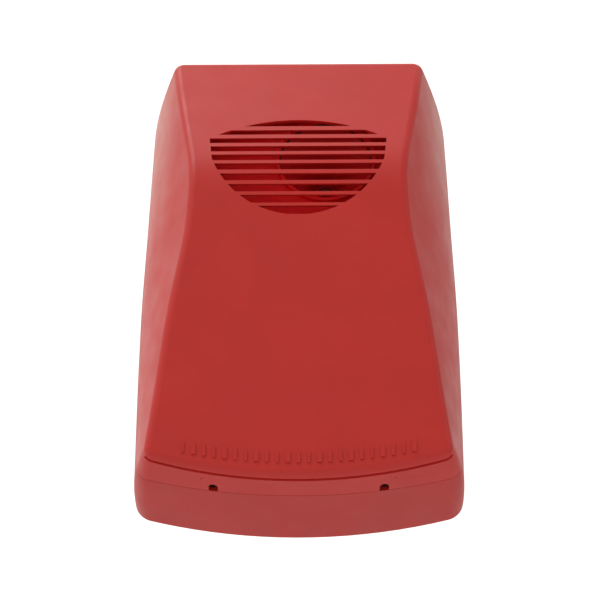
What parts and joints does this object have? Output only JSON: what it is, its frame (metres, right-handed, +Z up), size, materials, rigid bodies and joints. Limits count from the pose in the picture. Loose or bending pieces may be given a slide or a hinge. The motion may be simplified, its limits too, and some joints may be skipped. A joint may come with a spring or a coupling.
{
  "type": "alarm siren",
  "caption": "Red wall-mounted alarm siren with a wedge-shaped hinged cover and louvred grille over a horn speaker, circuit board and standby battery",
  "frame": {"origin": "centre of the flat rear face that lies on the wall", "axes": "+Z up along the height, -Y out of the front towards the viewer, +X to the right seen from the front"},
  "size_m": [0.2004, 0.0979, 0.3],
  "materials": {
    "cover_red": "fine-textured red polycarbonate",
    "base_red": "fine-textured red polycarbonate",
    "baffle_red": "plain red polycarbonate",
    "stainless": "stainless steel",
    "black_rubber": "soft rubber",
    "zinc_screw": "zinc plated steel",
    "zinc_sheet": "zinc plated sheet steel",
    "horn_red": "dark red moulded ABS",
    "black_screw": "black passivated steel",
    "driver_black": "black lacquered steel",
    "ferrite": "sintered ferrite",
    "copper_wire": "enamelled copper wire",
    "diaphragm_film": "phenolic film",
    "tinned_brass": "tinned brass",
    "board_green": "solder resist on glass epoxy",
    "terminal_green": "moulded polyamide",
    "dip_blue": "moulded polyester",
    "trimmer_blue": "moulded polyester",
    "white_plastic": "natural polyamide",
    "switch_black": "moulded polyester",
    "plunger_white": "acetal",
    "capacitor_sleeve": "shrink sleeve",
    "winding_tape": "polyester tape",
    "chip_black": "epoxy moulding compound",
    "heat_sink_black": "black anodised aluminium",
    "led_lens": "diffused red lens",
    "battery_grey": "ABS battery case",
    "clamp_black": "glass filled nylon",
    "wire_red": "PVC insulation",
    "wire_black": "PVC insulation"
  },
  "bodies": {
    "base": {"base_housing": "base_red", "battery": "battery_grey", "battery_clamp": "clamp_black", "battery_connector": "white_plastic", "battery_lead_black": "wire_black", "battery_lead_red": "wire_red", "battery_terminals": "tinned_brass", "board_screws": "zinc_screw", "cable_grommet": "black_rubber", "capacitors": "capacitor_sleeve", "circuit_board": "board_green", "clamp_posts": "base_red", "clamp_screws": "zinc_screw", "controller_chip": "chip_black", "dip_switch_body": "dip_blue", "driver_diaphragm": "diaphragm_film", "driver_front_plate": "zinc_sheet", "driver_housing": "driver_black", "driver_magnet": "ferrite", "driver_pole_piece": "zinc_sheet", "driver_screws": "zinc_screw", "driver_terminals": "tinned_brass", "driver_top_plate": "zinc_sheet", "heat_sink": "heat_sink_black", "hinge_pins": "stainless", "horn_bracket": "zinc_sheet", "horn_connector": "white_plastic", "horn_flare": "horn_red", "horn_lead_black": "wire_black", "horn_lead_red": "wire_red", "horn_posts": "base_red", "horn_screws": "zinc_screw", "power_transistors": "chip_black", "small_components": "chip_black", "status_led": "led_lens", "tamper_switch_body": "switch_black", "terminal_block": "terminal_green", "terminal_screws": "tinned_brass", "transformer_core": "ferrite", "transformer_winding": "winding_tape", "voice_coil": "copper_wire", "volume_trimmer_body": "trimmer_blue", "wall_tamper_body": "switch_black"},
    "cover": {"front_cover": "cover_red", "inner_baffle": "baffle_red", "baffle_screws": "zinc_screw"},
    "cover_screw_left_body": {"cover_screw_left": "black_screw"},
    "cover_screw_right_body": {"cover_screw_right": "black_screw"},
    "tamper_button": {"tamper_plunger": "plunger_white"},
    "wall_tamper_button": {"wall_tamper_plunger": "plunger_white"},
    "volume_dial": {"volume_trimmer_dial": "white_plastic"},
    "dip_lever_1": {"dip_slider_1": "white_plastic"},
    "dip_lever_2": {"dip_slider_2": "white_plastic"},
    "dip_lever_3": {"dip_slider_3": "white_plastic"},
    "dip_lever_4": {"dip_slider_4": "white_plastic"}
  },
  "joints": [
    {"name": "cover_hinge", "type": "hinge", "parent": "base", "child": "cover", "pos_m": [0, -0.0135, 0.142], "axis": [-1, 0, 0], "range_deg": [0, 70]},
    {"name": "cover_screw_left_turn", "type": "hinge", "parent": "base", "child": "cover_screw_left_body", "pos_m": [-0.05, -0.05071, -0.14003], "axis": [0, -0.1276, -0.9918], "range_deg": [0, 720]},
    {"name": "cover_screw_right_turn", "type": "hinge", "parent": "base", "child": "cover_screw_right_body", "pos_m": [0.05, -0.05071, -0.14003], "axis": [0, -0.1276, -0.9918], "range_deg": [0, 720]},
    {"name": "tamper_plunger_slide", "type": "slide", "parent": "base", "child": "tamper_button", "axis": [0, -1, 0], "range_m": [0, 0.003]},
    {"name": "wall_tamper_plunger_slide", "type": "slide", "parent": "base", "child": "wall_tamper_button", "axis": [0, 1, 0], "range_m": [0, 0.0025]},
    {"name": "volume_dial_turn", "type": "hinge", "parent": "base", "child": "volume_dial", "pos_m": [-0.026, -0.02, -0.045], "axis": [0, -1, 0], "range_deg": [-135, 135]},
    {"name": "dip_slider_1_slide", "type": "slide", "parent": "base", "child": "dip_lever_1", "axis": [0, 0, 1], "range_m": [0, 0.0014]},
    {"name": "dip_slider_2_slide", "type": "slide", "parent": "base", "child": "dip_lever_2", "axis": [0, 0, 1], "range_m": [0, 0.0014]},
    {"name": "dip_slider_3_slide", "type": "slide", "parent": "base", "child": "dip_lever_3", "axis": [0, 0, 1], "range_m": [0, 0.0014]},
    {"name": "dip_slider_4_slide", "type": "slide", "parent": "base", "child": "dip_lever_4", "axis": [0, 0, 1], "range_m": [0, 0.0014]}
  ],
  "couplings": [
    {"joint": "tamper_plunger_slide", "follows": "cover_hinge", "m_per_rad": 0.00245}
  ]
}
